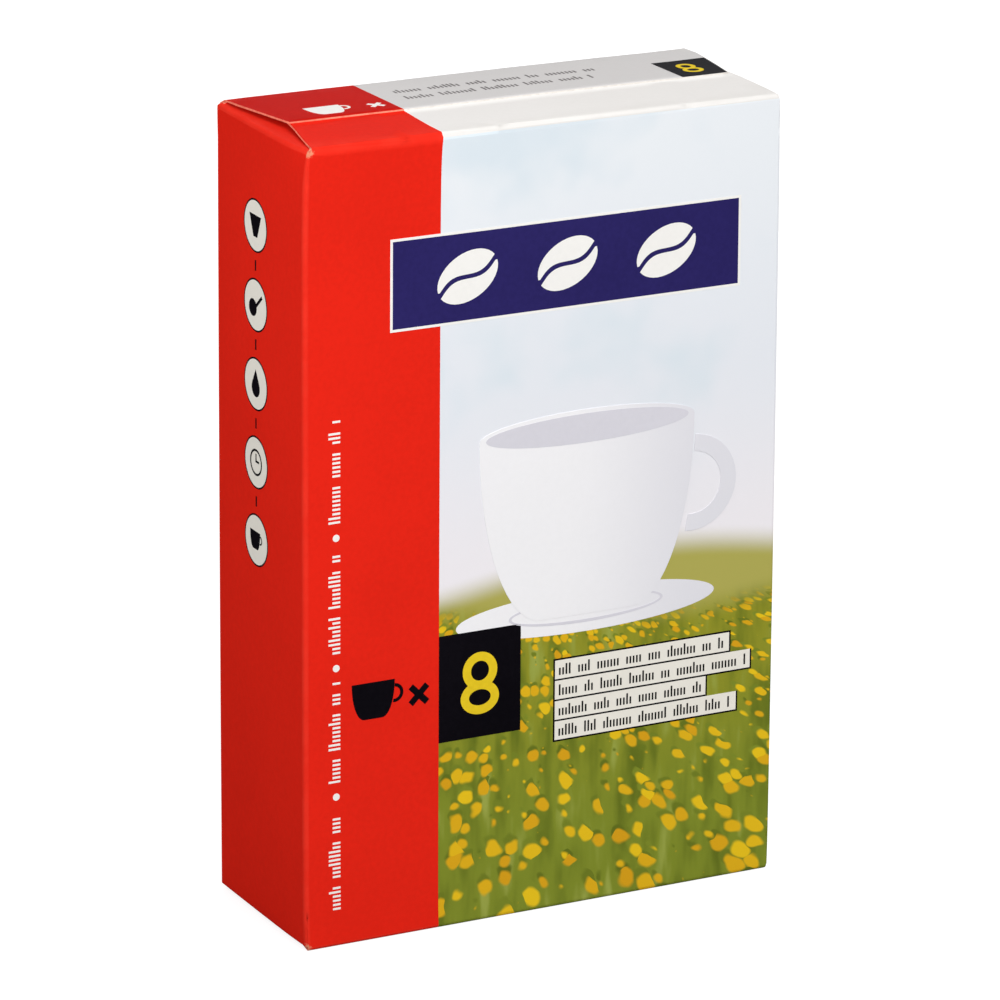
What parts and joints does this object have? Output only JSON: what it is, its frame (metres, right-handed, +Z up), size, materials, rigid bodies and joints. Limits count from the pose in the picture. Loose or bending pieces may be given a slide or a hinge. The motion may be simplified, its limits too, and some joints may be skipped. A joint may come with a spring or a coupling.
{
  "type": "coffee filter carton",
  "caption": "Closed upright folding carton of cone coffee filters, with glued overlapping end flaps and a printed front.",
  "frame": {"origin": "middle of the flat bottom that the carton stands on", "axes": "+X along the width, to the right when facing the front panel; +Y from the front panel to the back panel; +Z up"},
  "size_m": [0.1194, 0.0454, 0.1877],
  "materials": {
    "board": "satin"
  },
  "bodies": {
    "root": {"carton": "board"}
  },
  "joints": []
}
